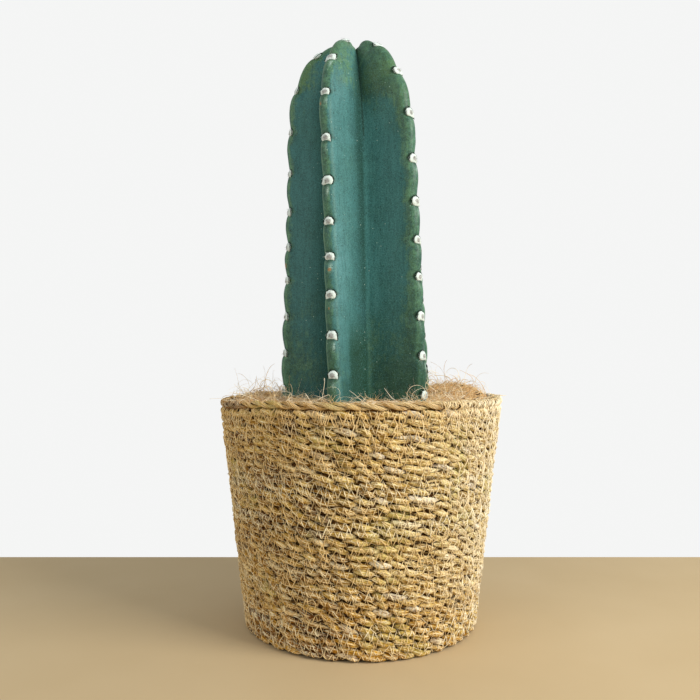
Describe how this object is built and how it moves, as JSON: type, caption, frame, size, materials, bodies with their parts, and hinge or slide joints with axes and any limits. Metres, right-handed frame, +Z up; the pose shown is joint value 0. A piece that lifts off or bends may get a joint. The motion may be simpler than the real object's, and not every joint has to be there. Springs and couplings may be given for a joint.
{
  "type": "potted columnar cactus",
  "caption": "Ribbed blue-green column cactus with white woolly areoles in a sewn seagrass basket, dressed with coconut fibre.",
  "frame": {"origin": "middle of the basket's underside, on the surface that it stands on", "axes": "+Z up along the stem, -Y towards the front rib's side, +X to the right seen from the front"},
  "size_m": [0.276, 0.276, 0.5715],
  "materials": {
    "stem_skin": "waxy blue-green skin with a dull bloom, greener at the crests and the crown",
    "seagrass_cord": "dry twisted seagrass, straw gold to greenish brown, with pale sewing thread",
    "rim_cord": "thicker dry twisted seagrass, straw gold",
    "pot_plastic": "black moulded plastic",
    "soil": "dark crumbly potting soil",
    "coco_fibre": "orange-brown coconut fibre, matted, with loose curly strands"
  },
  "bodies": {
    "root": {"cactus_stem": "stem_skin", "seagrass_basket": "seagrass_cord", "rim_rope": "rim_cord", "nursery_pot": "pot_plastic", "potting_soil": "soil", "coco_fibre_mulch": "coco_fibre"}
  },
  "joints": []
}
